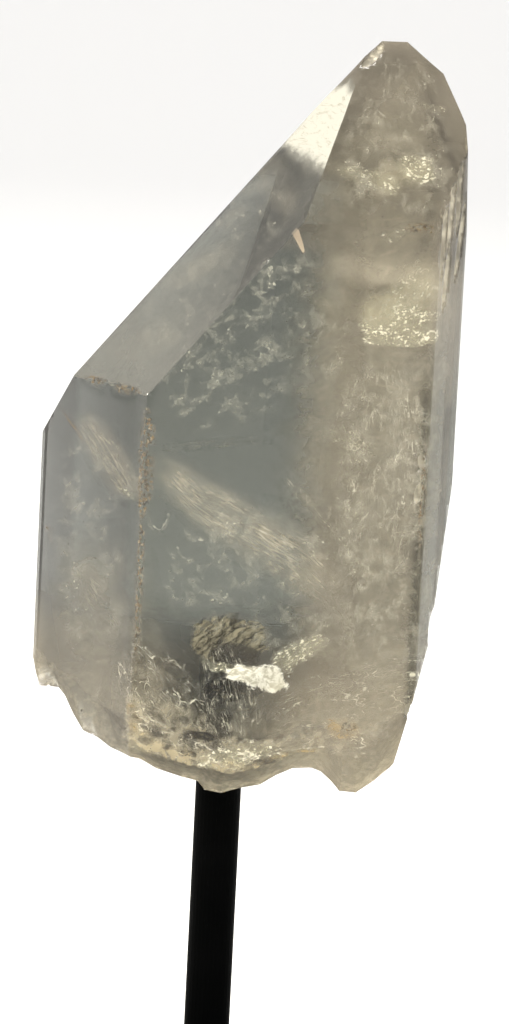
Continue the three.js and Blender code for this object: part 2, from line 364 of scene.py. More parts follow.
# The crystal's skin
quartz = {
    "cell": 1.15 * mm,         # spacing of the cuts that give the skin its fine mesh
    "sharpAngle": 22,          # degrees: edges sharper than this stay crisp
    "mainEdgeAngle": 18,
    "mainEdgeLength": 4 * mm,
    "wearReach": 1.2 * mm,     # how far from an edge its wear goes
    "roughWear": 0.26 * mm,    # depth of that wear on the edges listed in wornSpots
    "crestWear": 0.4 * mm,
    "crestHeight": (192 * mm, 203 * mm),   # its wear starts and is full
    "crestMiddle": (22 * mm, 0, 186 * mm),
    "chipSize": 2.6 * mm,
    "fineSize": 1.3 * mm,
    "ripple": 0.05 * mm,       # slow waves of the natural faces
    "rippleSize": 9 * mm,
    "brokenDepth": (0.03 * mm, 0.12 * mm),   # behind every natural face: broken surface
    "fracture": 0.28 * mm,     # its roughness
    "fractureSize": 3 * mm,
    "boreRadius": 4.4 * mm,
    "boreTop": 102.1 * mm,
    "boreRough": 1.2 * mm,     # how far its broken wall reaches into the quartz
    "boreRoughSize": 5 * mm,
    "boreRoughHeight": (82 * mm, 95 * mm),
    "absorption": (0.815, 0.821, 0.811, 1),
    "absorptionDensity": 250.0,
    # where each part of the look starts and is full: by x
    "rightMilk": (6 * mm, 20 * mm),
    "farRightMilk": (12 * mm, 27 * mm),
    "leftShade": (-15 * mm, -19 * mm),
    "stripSide": (31.5 * mm, 34 * mm),
    "sideFace": (31.2 * mm, 32.6 * mm),
    # by depth
    "farHalf": (0 * mm, 12 * mm),
    # by height
    "lowMilk": (107 * mm, 91 * mm),
    "tipMilk": (169 * mm, 174 * mm),
    "crestMilk": (188 * mm, 197 * mm),
    "stripHeight": (138 * mm, 160 * mm),
    "sideFaceHeight": (160 * mm, 140 * mm),
    "glareHeight": (186 * mm, 190 * mm),
    "slantHeight": (172 * mm, 146 * mm),
    "rimHeight": (86 * mm, 77 * mm),
    "rodTop": (96 * mm, 93 * mm),        # the part of the rod that shows through the hole's wall
    "rodFoot": (85 * mm, 88.5 * mm),
    "wallFoot": 76 * mm,                 # heights of the hole's wall that wallStops spans
    "wallSpan": 27 * mm,
    # a clear spot and a stained one: centre and half sizes
    "openFront": ((-2 * mm, -20 * mm, 91 * mm), (13 * mm, 10 * mm, 16 * mm)),
    "stainSpot": ((22.4 * mm, -19 * mm, 86.5 * mm), (2.4 * mm, 4 * mm, 1.6 * mm)),
    "milkClear": (0.13, 0.13, 0.115, 1),
    "milkWarm": (0.30, 0.262, 0.195, 1),
    "wispColour": (0.40, 0.37, 0.30, 1),
    "lowColour": (0.28, 0.24, 0.17, 1),
    "tipColour": (0.145, 0.127, 0.097, 1),
    "farMilk": (0.46, 0.41, 0.32, 1),   # milk on the far faces, seen through the crystal
    "farLow": (0.43, 0.36, 0.23, 1),
    "farEdge": (0.15, 0.145, 0.125, 1),
    # painted reflection: colours of the slanted left face that stand in for the bright room it mirrors
    "slantReflectionColour": (0.061, 0.060, 0.053, 1),
    "slantReflectionPale": (0.105, 0.103, 0.089, 1),
    "cream": (0.52, 0.48, 0.37, 1),
    "crackColour": (0.9, 0.85, 0.68, 1),
    # painted glare: the pale colour that stands in for the room's light mirrored at the top of the slanted face
    "glareColour": (0.36, 0.352, 0.305, 1),
    "mirror": (0.35, 0.35, 0.35, 1),   # how strongly its clear faces mirror the room
    "leftPaintedShade": 0.36,          # painted shade: how dark the clear glass is tinted through its left side
    "tipTint": 0.68,
    "ochre": (0.10, 0.068, 0.030, 1),
    "umber": (0.026, 0.018, 0.010, 1),
    "olive": (0.20, 0.17, 0.115, 1),
    "shadowTint": (0.80, 0.79, 0.75, 1),
    # colours of the hole's wall by height: frosted foot, black band, streaked dome
    "wallStops": [
        (0.00, (0.50, 0.44, 0.31, 1)), (0.26, (0.42, 0.38, 0.29, 1)), (0.36, (0.16, 0.15, 0.12, 1)),
        (0.48, (0.02, 0.02, 0.018, 1)), (0.64, (0.012, 0.012, 0.01, 1)), (0.70, (0.75, 0.70, 0.56, 1)),
        (0.76, (0.07, 0.06, 0.03, 1)), (0.85, (0.20, 0.165, 0.09, 1)), (0.92, (0.05, 0.04, 0.02, 1)),
        (1.00, (0.50, 0.45, 0.32, 1))],
}
# Stretches of edge that are rough and stained: centre and half sizes in mm
wornSpots = {
    "leftEdge": ((-15.8, -23, 132), (4.5, 6, 12)),
    "leftEdgeLow": ((-16.3, -23, 110), (2.5, 4, 16)),
    "ledge": ((-22.5, -14, 144.5), (9.5, 13, 2.4)),
    "rightEdge": ((31, -18, 128), (4, 5, 16)),
    "rightStep": ((30, -18, 172), (4, 6, 6)),
}


def valueNoise(points, size, seed):
    # Smooth noise from 0 to 1: a random number at every corner of a grid of cells, blended by
    # smooth steps along x, y and z. size is the cell in metres.
    place = points / size + seed * 17.31
    cell = np.floor(place).astype(np.int64)
    part = place - cell
    ease = part * part * (3 - 2 * part)
    total = np.zeros(len(points))
    for corner in range(8):
        step = np.array([corner & 1, corner >> 1 & 1, corner >> 2])
        key = (cell + step) @ np.array([374761393, 668265263, 1442695041]) + seed * 1274126177
        key = key & 0xFFFFFFFF
        key = (key ^ (key >> 13)) * 1274126177 & 0xFFFFFFFF
        value = ((key ^ (key >> 16)) & 0xFFFF) / 65535
        total += value * np.prod(np.where(step, ease, 1 - ease), axis=1)
    return total


def crackNoise(points, size, seed):
    # Three layers of folded noise: sharp crests, round hollows, 0 to 1
    total = np.zeros(len(points))
    for layer, share in enumerate((0.55, 0.3, 0.15)):
        wave = valueNoise(points, size / 2 ** layer, seed + layer)
        total += share * (1 - np.abs(2 * wave - 1))
    return total


def smooth(value, low, high):
    part = np.clip((value - low) / (high - low), 0, 1)
    return part * part * (3 - 2 * part)


def nearSpot(points, name):
    # 1 at a worn stretch's centre, 0 outside its ellipsoid
    centre, reach = wornSpots[name]
    away = (points - np.array(centre) * mm) / (np.array(reach) * mm)
    return smooth(1 - np.linalg.norm(away, axis=1), 0, 0.5)


def copyMerged(node, name):
    # The node's loose triangles joined into one closed skin with flat faces made whole
    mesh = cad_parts[node].data.copy()
    mesh.name = name
    mesh.materials.clear()
    work = bmesh.new()
    work.from_mesh(mesh)
    bmesh.ops.remove_doubles(work, verts=work.verts, dist=2e-6)
    bmesh.ops.dissolve_limit(work, angle_limit=math.radians(0.6), verts=work.verts, edges=work.edges)
    return mesh, work


def sliceFine(work, cell):
    # Cuts every face by planes across x, y and z, a cell apart
    for axis in range(3):
        places = np.array([v.co[axis] for v in work.verts])
        normal = [0.0, 0.0, 0.0]
        normal[axis] = 1.0
        for at in np.arange(places.min() + cell / 2, places.max(), cell):
            point = [0.0, 0.0, 0.0]
            point[axis] = at
            bmesh.ops.bisect_plane(
                work, geom=work.verts[:] + work.edges[:] + work.faces[:], dist=1e-7,
                plane_co=point, plane_no=normal)


def edgeDistance(points, starts, ends):
    # Distance from each point to the nearest of the straight edges
    nearest = np.full(len(points), 1.0)
    for start, end in zip(starts, ends):
        along = end - start
        part = np.clip((points - start) @ along / (along @ along), 0, 1)
        nearest = np.minimum(nearest, np.linalg.norm(points - start - part[:, None] * along, axis=1))
    return nearest


def setAttribute(mesh, name, values):
    mesh.attributes.new(name, "FLOAT", "POINT").data.foreach_set("value", values.astype(np.float32))


def makeSkin():
    look = quartz
    mesh, work = copyMerged("quartz_crystal", "crystal_skin")
    sharp = [e for e in work.edges if len(e.link_faces) == 2
             and e.calc_face_angle(0) > math.radians(look["mainEdgeAngle"])
             and e.calc_length() > look["mainEdgeLength"]]
    starts = np.array([e.verts[0].co for e in sharp])
    ends = np.array([e.verts[1].co for e in sharp])
    sliceFine(work, look["cell"])
    bmesh.ops.triangulate(work, faces=work.faces)
    work.normal_update()
    work.to_mesh(mesh)
    work.free()
    count = len(mesh.vertices)
    points = np.empty(count * 3)
    normals = np.empty(count * 3)
    mesh.vertices.foreach_get("co", points)
    mesh.vertex_normals.foreach_get("vector", normals)
    points, normals = points.reshape(-1, 3), normals.reshape(-1, 3)
    # how far each point lies behind the nearest natural face
    behind = np.min([np.abs(points @ facePlanes[name][0] - facePlanes[name][1])
                     for name in crystalFaces], axis=0)
    broken = smooth(behind, *look["brokenDepth"])
    fromAxis = np.hypot(points[:, 0], points[:, 1])
    bore = (fromAxis < look["boreRadius"] + 0.1 * mm) & (points[:, 2] < look["boreTop"])
    nearEdge = edgeDistance(points, starts, ends)
    spots = np.max([nearSpot(points, name) for name in wornSpots], axis=0)
    crest = smooth(points[:, 2], *look["crestHeight"])
    chip = crackNoise(points, look["chipSize"], 3)
    fine = crackNoise(points, look["fineSize"], 31)
    reach = look["wearReach"] * (0.7 + 0.9 * nearSpot(points, "leftEdge"))
    edge = np.exp(-(nearEdge / reach) ** 2) * (~bore)
    crestEdge = np.exp(-(nearEdge / (2.6 * look["wearReach"])) ** 2) * crest * (~bore)
    wear = edge * np.clip(0.12 + spots, 0, 1)
    # edges wear towards the axis and the crest towards a point inside, so that nothing folds
    worn = look["roughWear"] * edge * spots * (0.3 + 1.0 * fine ** 2 + 0.6 * chip)
    inward = -points * [1, 1, 0] / np.maximum(fromAxis, 1 * mm)[:, None]
    toMiddle = np.array(look["crestMiddle"]) - points
    toMiddle /= np.linalg.norm(toMiddle, axis=1, keepdims=True)
    sink = look["ripple"] * valueNoise(points * [1, 1, 2.2], look["rippleSize"], 5)
    rough = 0.5 * crackNoise(points * [1, 1, 1.2], look["fractureSize"], 8) + 0.5 * fine
    sink += look["fracture"] * broken * (~bore) * rough
    sink *= np.maximum(smooth(nearEdge, 0.05 * mm, 0.9 * mm), np.clip(spots + broken + crest, 0, 1))
    ridges = crackNoise(points * [1, 1, 3], look["boreRoughSize"], 21)[bore]
    sink[bore] = look["boreRough"] * (ridges - 0.2) * smooth(points[bore, 2], *look["boreRoughHeight"])
    points += inward * worn[:, None] + toMiddle * (look["crestWear"] * crestEdge)[:, None]
    points -= normals * sink[:, None]
    mesh.vertices.foreach_set("co", points.ravel())
    setAttribute(mesh, "broken", broken)
    setAttribute(mesh, "wear", wear)
    setAttribute(mesh, "bore", bore.astype(float))
    mesh.polygons.foreach_set("use_smooth", np.ones(len(mesh.polygons), bool))
    mesh.update()
    mesh.set_sharp_from_angle(angle=math.radians(look["sharpAngle"]))
    return addObject("crystal_skin", mesh)


def onFace(finish, place, name):
    # 1 on a natural face, 0 a fifth of a millimetre below it
    out, far = facePlanes[name]
    reached = finish.node("VectorMath", {"operation": "DOT_PRODUCT"}, {0: place, 1: tuple(out)}, output="Value")
    return finish.ramp(far - reached, 0.22 * mm, 0.10 * mm)


def quartzFinish():
    look = quartz
    finish = Finish("quartzSkin")
    noise, ramp, blend, largest = finish.noise, finish.ramp, finish.blend, finish.largest
    place = finish.node("TexCoord", output="Object")
    broken = finish.attribute("broken")
    wear = finish.attribute("wear")
    bore = finish.attribute("bore")
    across, depthwise, height = finish.split(place)
    normal = finish.node("TexCoord", output="Normal")
    _, _, rise = finish.split(normal)

    # where the crystal is clear and where it is milky
    cloud = noise(place, 38, 4, 0.6, 0.4)
    wisp = noise(place * (1.0, 1.0, 0.4), 190, 4, 0.62, 1.0)
    grit = noise(place, 1700, 2, 0.7)
    frost = ramp(noise(place, 420, 4, 0.74), 0.42, 0.62)
    crack = ramp(finish.ridged(place * (1.0, 1.0, 0.7), 170), 2.2, 3.6)
    rightSide = ramp(across + 6 * mm * (cloud - 0.5), *look["rightMilk"])
    # painted shade: the left side of the crystal, where its clear glass is tinted darker
    darkLeftSide = ramp(across, *look["leftShade"])
    rightStrip = ramp(across, *look["stripSide"]) * ramp(height, *look["stripHeight"])
    low = ramp(height + 12 * mm * (cloud - 0.5), *look["lowMilk"])
    top = ramp(height + 0.12 * across, *look["tipMilk"])
    behind = ramp(depthwise, *look["farHalf"])
    zone = largest(largest(rightSide, 0.9 * low), top)
    farRight = ramp(across + 6 * mm * (cloud - 0.5), *look["farRightMilk"])
    farZone = largest(largest(farRight, 0.9 * low), top)
    onRightBack = onFace(finish, place, "rightBack")
    # around the drilled hole the front is clear, and the milk lies on the far faces and inside
    openFront = finish.spot(place, *look["openFront"], 0.8)
    upper = largest(rightSide, top)
    crest = ramp(height, *look["crestMilk"])
    sideFace = ramp(across, *look["sideFace"]) * ramp(height, *look["sideFaceHeight"])
    frontMilk = (0.24 * upper + 0.14 * low + 0.24 * crest) * (1 - 0.97 * openFront) * (1 - 0.85 * sideFace)
    backMilk = behind * largest(0.05 + 0.75 * farZone, 0.8 * onRightBack)
    haze = 0.03 * (1 - 0.9 * openFront) + frontMilk + 0.15 * rightStrip + backMilk
    haze = haze * (0.7 + 0.45 * cloud + 0.25 * (wisp - 0.5))
    warm = ramp(zone + 0.8 * (cloud - 0.5), 0.1, 0.8)

    # the slanted left face: painted reflection of the bright room, pale all over, and a painted glare, white at
    # its top with a soft lower border
    onSlant = onFace(finish, place, "tipLeftFront")
    border = height + 5 * mm * (noise(place, 330, 4, 0.65) - 0.5) + 0.35 * across
    paintedGlare = onSlant * ramp(border, *look["glareHeight"])
    slantLow = ramp(height, *look["slantHeight"])
    slantReflectionShare = onSlant * (0.56 + 0.2 * slantLow + 0.3 * (cloud - 0.5) + 0.4 * (wisp - 0.5))

    # iron stain in the worn edges, in spots and along the broken rim
    spotLow = finish.spot(place, *look["stainSpot"], 0.9)
    rim = ramp(height, *look["rimHeight"])
    stainPlace = ramp(wear + 0.9 * spotLow + 0.35 * rim * wisp, 0.2, 0.6)
    stain = stainPlace * ramp(grit, 0.44, 0.56) * ramp(wisp, 0.34, 0.5)
    darkStain = ramp(noise(place, 1500, 2), 0.46, 0.56)
    stainColour = blend(darkStain, look["ochre"], look["umber"])
    stainColour = blend(ramp(noise(place, 1900, 1), 0.58, 0.66), stainColour, look["olive"])

    # drilled hole's wall
    rough = noise(place * (1.0, 1.0, 2.6), 260, 4, 0.7, 1.2)
    wallHeight = height + 5 * mm * (rough - 0.5) + 0.2 * across
    wall = finish.node("ValToRGB", {"stops": look["wallStops"]}, {
        "Fac": (wallHeight - look["wallFoot"]) / look["wallSpan"]})

    # the milk's colour, layer over layer
    farColour = blend(0.6 * low, look["farMilk"], look["farLow"])
    farColour = blend(onRightBack * (1 - farZone), farColour, look["farEdge"])
    slantReflectionTint = blend(slantLow, look["slantReflectionColour"], look["slantReflectionPale"])
    scratches = ramp(noise(place * (1.0, 1.0, 3.0), 260, 4, 0.7, 2.0), 0.52, 0.7)
    # the painted glare's colour, streaked with tan scratches
    glareTint = blend(0.5 * scratches, look["glareColour"], look["ochre"])
    milkColour = blend(warm, look["milkClear"], look["milkWarm"])
    for cover, colour in (
            (0.35 * ramp(wisp, 0.42, 0.68), look["wispColour"]), (low, look["lowColour"]),
            (top, look["tipColour"]), (behind, farColour), (onSlant, slantReflectionTint), (paintedGlare, glareTint),
            (broken * (0.2 + 0.6 * frost), look["cream"]), (0.7 * broken * crack, look["crackColour"]),
            (stain, stainColour), (bore, wall)):
        milkColour = blend(cover, milkColour, colour)

    # how much of the skin is milk, not clear
    dust = ramp(noise(place, 2200, 1, 0.6), 0.68, 0.76)
    share = largest(haze, slantReflectionShare)
    share = share + broken * (0.12 + 0.36 * frost + 0.4 * crack) + 0.35 * wear * ramp(grit, 0.4, 0.6)
    # the black rod shows through the hole's wall between its dome and its frosted foot
    band = ramp(wallHeight, *look["rodTop"]) * ramp(wallHeight, *look["rodFoot"])
    wallShare = bore * (0.96 - 0.8 * band - 0.5 * ramp(rough, 0.5, 0.6))
    for part in (0.32 * dust, paintedGlare * 0.93, stain * 0.9, wallShare):
        share = largest(share, part)
    share = ramp(share, 0.0, 1.0, "LINEAR")

    upright = ramp(finish.away(rise, 0), 0.3, 0.1)
    lines = noise(place * (0.6, 0.6, 9.0), 110, 2, 0.5) * upright
    relief = 0.35 * lines + 0.5 * noise(place, 900, 2) * (0.1 + broken) + 0.2 * cloud
    relief = relief + 0.3 * stain * grit
    bump = finish.bump(relief, 0.2, 0.6 * mm)
    gloss = 0.05 + 0.3 * broken + 0.25 * wear + 0.06 * ramp(wisp, 0.5, 0.75)

    tint = blend(darkLeftSide, (0.96, 0.965, 0.955, 1), (look["leftPaintedShade"],) * 3 + (1,))
    tint = blend(top, tint, (look["tipTint"],) * 3 + (1,))
    clear = finish.node("BsdfPrincipled", None, {
        "Base Color": tint, "Roughness": gloss, "IOR": quartzIor, "Specular Tint": look["mirror"],
        "Transmission Weight": 1.0, "Normal": bump})
    milk = finish.node("BsdfPrincipled", None, {
        "Base Color": milkColour, "Roughness": 0.25 + 0.35 * broken, "IOR": quartzIor, "Normal": bump})
    mixed = finish.node("MixShader", None, {0: share, 1: clear, 2: milk})
    lit = finish.node("BsdfTransparent", None, {"Color": look["shadowTint"]})
    isShadow = finish.node("LightPath", output="Is Shadow Ray")
    both = finish.node("MixShader", None, {0: isShadow, 1: mixed, 2: lit})
    dark = finish.node("VolumeAbsorption", None, {
        "Color": look["absorption"], "Density": look["absorptionDensity"]})
    return finish.surface(both, dark)


skin = makeSkin()
skin.data.materials.append(quartzFinish())
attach(skin, "root")
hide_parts("quartz_crystal")
print("crystal skin made:", len(skin.data.polygons), "triangles")


def veil(kind, depth, amount, seed, *path, face="front", **more):
    # A thin sheet inside the crystal, seen through a face. kind sets its pattern in veilFinish, depth
    # is in millimetres behind the face at the sheet's two sides, and amount is how dense it is. path
    # has x, y and half width in photo pixels. more may give stretch, colour, bright and hardSide.
    path = np.array(path, float)
    return {"kind": kind, "face": face, "depth": depth, "amount": amount, "seed": seed,
            "path": path[:, :2], "halfWidth": path[:, 2], **more}


# Veils: milk, healed cracks, frosty breaks, bright threads and specks
veils = {
    "cloud_right": veil("cloud", (10, 13), 1.0, 31, (396, 60, 72), (394, 330, 84), (388, 450, 80),
        (380, 560, 76), (372, 840, 72)),
    "cloud_middle": veil("cloud", (13, 15), 1.1, 32, (350, 120, 50), (344, 300, 70), (338, 450, 76),
        (338, 600, 80), (330, 760, 76)),
    "cloud_low": veil("cloud", (12, 12), 1.05, 33, (60, 700, 70), (150, 730, 66), (230, 740, 60),
        (310, 732, 66), (460, 700, 70)),
    "cloud_left_low": veil("cloud", (6, 9), 0.8, 34, (84, 520, 50), (90, 610, 64), (96, 700, 64),
        (100, 800, 50), face="leftFront"),
    "cloud_tip": veil("cloud", (7, 7), 0.8, 35, (400, 60, 90), (402, 140, 100), (400, 200, 104),
        (396, 300, 104), face="tipFront", colour=(0.48, 0.43, 0.345, 1)),
    "veil_main": veil("veil", (2, 5), 1.15, 1, (146, 448, 12), (175, 478, 24), (200, 500, 30), (250, 532, 36),
        (300, 562, 36), (352, 612, 24), stretch=3.0),
    "veil_main_upper": veil("thread", (2.5, 6), 1.0, 41, (176, 484, 4), (205, 496, 7), (235, 504, 8),
        (268, 520, 6), stretch=6.0),
    "veil_main_lower": veil("thread", (4, 8), 1.0, 42, (150, 490, 4), (172, 500, 6), (205, 518, 7),
        (246, 542, 5), stretch=6.0),
    "veil_patch": veil("frost", (7, 9), 0.7, 2, (234, 522, 6), (258, 530, 12), (284, 540, 12), (306, 550, 6),
        stretch=1.6, colour=(0.62, 0.53, 0.4, 1)),
    "veil_crescent": veil("thread", (1.5, 3), 0.9, 43, (146, 505, 3), (151, 526, 3), (160, 532, 3),
        (167, 522, 3), (170, 502, 3), stretch=8.0),
    "veil_left": veil("veil", (1.5, 4), 1.2, 3, (78, 408, 12), (98, 440, 22), (116, 470, 24), (138, 504, 12),
        face="leftFront", stretch=2.2),
    "veil_left_bright": veil("frost", (1.5, 3), 1.0, 44, (116, 484, 3), (124, 491, 5), (132, 497, 5),
        (138, 503, 2), face="leftFront", stretch=1.5, bright=True),
    "veil_left_low": veil("veil", (1.5, 6), 0.9, 4, (70, 556, 16), (94, 590, 26), (112, 620, 26),
        (128, 650, 14), face="leftFront", stretch=2.0),
    # painted glows: pale cream patches of milk where light is caught inside the crystal
    "glow_right_soft": veil("cloud", (6, 7), 0.8, 66, (440, 262, 26), (420, 288, 40), (398, 306, 40),
        (356, 328, 22), colour=(0.86, 0.78, 0.57, 1)),
    "glow_tip_soft": veil("cloud", (4, 4), 0.5, 67, (366, 186, 16), (392, 178, 26), (414, 170, 28),
        (436, 160, 18), face="tipFront", colour=(0.8, 0.72, 0.53, 1)),
    "glow_base_soft": veil("cloud", (4, 4), 0.75, 68, (186, 770, 16), (220, 766, 26), (256, 764, 26),
        (300, 750, 16), colour=(0.84, 0.76, 0.52, 1)),
    "veil_slant_upper": veil("veil", (0.8, 2), 0.55, 69, (262, 150, 16), (276, 180, 22), (286, 204, 20),
        (292, 222, 8), face="tipLeftFront", stretch=2.4),
    "veil_slant_middle": veil("veil", (0.8, 2), 0.5, 70, (160, 290, 12), (190, 272, 18), (216, 258, 18),
        (244, 240, 10), face="tipLeftFront", stretch=3.0),
    "veil_slant_low": veil("veil", (0.8, 2), 0.5, 71, (104, 362, 12), (130, 348, 20), (156, 340, 20),
        (186, 330, 10), face="tipLeftFront", stretch=2.4),
    "slant_lines": veil("thread", (0.3, 0.6), 0.8, 72, (212, 226, 8), (226, 218, 10), (242, 210, 10),
        (256, 204, 6), face="tipLeftFront", stretch=5.0),
    # painted highlight: a pale spike where a small facet catches the light
    "veil_spike": veil("smear", (0.4, 0.6), 1.3, 73, (289, 222, 8), (295, 231, 6), (300, 242, 4),
        (305, 256, 1.5), colour=(0.46, 0.38, 0.29, 1)),
    "veil_right_glow": veil("frost", (3, 5), 1.25, 5, (442, 318, 22), (414, 321, 28), (390, 324, 24),
        (352, 334, 10), stretch=1.2, bright=True, hardSide=True),
    "veil_right_upper": veil("frost", (3, 6), 0.95, 6, (438, 254, 14), (420, 280, 28), (404, 300, 30),
        (380, 326, 16), stretch=1.8, bright=True),
    "veil_step": veil("frost", (1.2, 2.5), 1.1, 7, (374, 241, 6), (392, 237, 9), (410, 229, 9), (430, 232, 7),
        stretch=1.6, bright=True),
    "veil_tip_left": veil("frost", (2, 3), 0.9, 8, (328, 168, 8), (352, 173, 11), (378, 180, 14),
        (410, 196, 12), face="tipFront", stretch=1.4, bright=True),
    "veil_tip_right": veil("frost", (1.5, 2.5), 1.2, 9, (394, 160, 12), (412, 167, 20), (426, 171, 22),
        (440, 168, 14), face="tipFront", stretch=1.3, bright=True),
    "veil_tip_upper": veil("frost", (1, 2), 0.7, 45, (414, 104, 3), (426, 106, 5), (440, 110, 6), (450, 114, 4),
        face="tipFront", stretch=1.3, bright=True),
    "veil_middle_glitter": veil("frost", (4, 8), 0.55, 10, (312, 432, 8), (336, 436, 18), (358, 444, 18),
        (384, 456, 8), stretch=1.8, bright=True),
    "veil_streak": veil("thread", (4, 6), 1.3, 11, (283, 474, 5), (304, 500, 7), (330, 528, 7), (356, 554, 4),
        stretch=9.0),
    "veil_lines": veil("thread", (3, 8), 1.2, 12, (150, 449, 4), (190, 446, 6), (230, 442, 6), (275, 440, 4),
        stretch=12.0),
    "veil_threads_low": veil("thread", (3, 6), 0.8, 46, (214, 640, 20), (226, 676, 34), (232, 712, 40),
        (244, 752, 24), stretch=3.0),
    "bore_dome": veil("ridge", (9, 9), 1.1, 47, (182, 644, 18), (208, 640, 32), (238, 638, 33), (276, 642, 18)),
    "bore_brown": veil("smear", (8, 8), 0.8, 55, (206, 656, 8), (226, 654, 15), (246, 655, 15), (264, 660, 8),
        stretch=2.5),
    "bore_glints": veil("frost", (5, 5), 1.0, 56, (202, 664, 4), (216, 667, 8), (230, 669, 8), (246, 672, 4),
        stretch=1.6, bright=True),
    "bore_black": veil("smear", (7, 7), 1.2, 48, (196, 692, 10), (220, 691, 18), (246, 688, 17), (274, 683, 7),
        stretch=1.8),
    "bore_smoke": veil("smear", (6.5, 6.5), 0.62, 49, (216, 694, 18), (218, 714, 22), (216, 732, 20),
        (208, 750, 12), stretch=0.8),
    # painted highlight: a near-white fan below the hole's dome
    "bore_fan": veil("glow", (3.5, 3.5), 1.3, 13, (220, 675, 7), (240, 673, 12), (258, 677, 15), (274, 680, 21),
        (288, 671, 18)),
    "bore_tail": veil("frost", (3.5, 4), 1.4, 57, (266, 672, 14), (288, 658, 18), (308, 646, 16), (336, 636, 8),
        stretch=2.6, bright=True),
    "veil_low_right": veil("thread", (3, 7), 1.1, 14, (312, 694, 6), (352, 680, 12), (392, 666, 12),
        (436, 652, 5), stretch=5.0),
    "base_frost": veil("frost", (1, 3), 1.3, 15, (182, 770, 14), (216, 767, 32), (250, 763, 34), (290, 752, 14),
        stretch=1.2, bright=True),
    "base_dark_left": veil("smear", (1, 2), 1.0, 16, (146, 732, 3), (152, 733, 5), (158, 733, 5), (164, 734, 3),
        stretch=2.0),
    "base_dark_right": veil("smear", (1, 2), 1.1, 50, (180, 735, 4), (192, 735, 6), (206, 736, 6),
        (218, 740, 4), stretch=2.0),
    "veil_scratch": veil("scratch", (0.3, 0.4), 0.7, 17, (392, 138, 1.0), (403, 145, 1.4), (414, 152, 1.4),
        (424, 158, 1.0), face="tipFront"),
    "veil_scratch_upper": veil("scratch", (0.3, 0.4), 0.45, 51, (375, 108, 0.8), (384, 116, 1.0),
        (393, 124, 1.0), (402, 132, 0.8), face="tipFront"),
    "veil_lower_fan": veil("veil", (4, 9), 0.8, 18, (306, 580, 10), (326, 598, 20), (342, 616, 20),
        (350, 640, 8), stretch=2.4),
    "veil_right_edge": veil("veil", (0.8, 2), 1.0, 19, (452, 130, 8), (451, 180, 10), (448, 235, 11),
        (442, 300, 9), (438, 335, 5), face="rightFront", stretch=5.0),
    "stain_left_upper": veil("thread", (0.4, 0.8), 1.3, 61, (58, 405, 2), (68, 418, 3), (76, 430, 3),
        (85, 442, 2), face="leftFront", stretch=5.0, colour=(0.3, 0.19, 0.07, 1)),
    "stain_left_low": veil("thread", (0.4, 0.8), 1.2, 62, (72, 588, 4), (74, 597, 5), (77, 606, 5),
        (78, 616, 3), face="leftFront", stretch=3.0, colour=(0.34, 0.22, 0.09, 1)),
    "stain_left_middle": veil("thread", (0.4, 0.8), 1.1, 63, (45, 524, 3), (49, 531, 4), (52, 538, 4),
        (55, 546, 2), face="leftFront", stretch=3.0, colour=(0.3, 0.2, 0.09, 1)),
    # a dark blot at the rim, right of the rod's top
    "base_blob": veil("smear", (0.6, 0.9), 1.3, 64, (250, 763, 4), (259, 764, 6), (268, 764, 6), (279, 762, 4)),
    "base_dark_low": veil("smear", (0.8, 1.2), 1.0, 65, (178, 752, 3), (185, 753, 4), (191, 754, 4),
        (198, 756, 3)),
    "low_web_left": veil("thread", (2, 6), 0.9, 74, (120, 640, 34), (150, 680, 46), (176, 716, 46),
        (214, 756, 30), stretch=1.3),
    "low_web_right": veil("thread", (3, 7), 0.9, 75, (262, 726, 30), (310, 716, 50), (360, 712, 56),
        (440, 690, 46), stretch=1.4),
    "low_smoke": veil("blotch", (5, 7), 0.6, 76, (130, 640, 30), (160, 690, 46), (200, 736, 44), (250, 762, 24),
        colour=(0.07, 0.06, 0.04, 1)),
    "low_cream": veil("blotch", (1.5, 4), 0.36, 77, (80, 690, 40), (150, 732, 50), (240, 764, 40),
        (340, 752, 44), (420, 740, 50), colour=(0.8, 0.72, 0.54, 1)),
    "rim_cream": veil("blotch", (0.5, 1.5), 0.5, 85, (100, 720, 22), (160, 756, 22), (240, 778, 20),
        (330, 766, 22), (380, 784, 24), stretch=1.6, colour=(0.62, 0.53, 0.34, 1)),
    "rim_web": veil("thread", (0.5, 2), 0.8, 86, (90, 700, 30), (150, 744, 34), (230, 772, 30), (330, 758, 34),
        (420, 750, 40), stretch=1.2),
    "rim_smoke": veil("blotch", (2, 4), 0.5, 87, (100, 700, 30), (160, 742, 34), (240, 770, 30), (330, 758, 34),
        (410, 760, 36), colour=(0.1, 0.085, 0.055, 1)),
    "low_ochre": veil("blotch", (1, 2), 0.75, 78, (322, 722, 8), (336, 728, 14), (350, 732, 14), (364, 738, 8),
        colour=(0.34, 0.22, 0.06, 1)),
    "rim_ochre": veil("blotch", (1, 2), 0.6, 79, (262, 764, 8), (284, 762, 12), (306, 758, 12), (332, 752, 8),
        colour=(0.5, 0.36, 0.12, 1)),
    "left_ochre_low": veil("blotch", (0.8, 1.6), 0.6, 80, (130, 700, 6), (133, 716, 9), (136, 728, 9),
        (138, 740, 6), colour=(0.34, 0.24, 0.09, 1)),
    "flecks_right": veil("flecks", (1.5, 5), 1.0, 81, (390, 330, 46), (388, 440, 62), (382, 560, 64),
        (372, 690, 60), stretch=1.4),
    "flecks_tip": veil("flecks", (0.8, 3), 1.0, 82, (396, 44, 30), (398, 100, 56), (396, 160, 76),
        (392, 226, 80), face="tipFront", stretch=1.4),
    "flecks_slant": veil("flecks", (0.4, 1.2), 0.8, 83, (110, 376, 34), (170, 312, 44), (230, 242, 44),
        (290, 170, 40), face="tipLeftFront", stretch=1.6),
    "web_right": veil("thread", (2, 5), 0.6, 84, (384, 350, 40), (380, 420, 56), (376, 500, 60), (366, 600, 50),
        stretch=1.6),
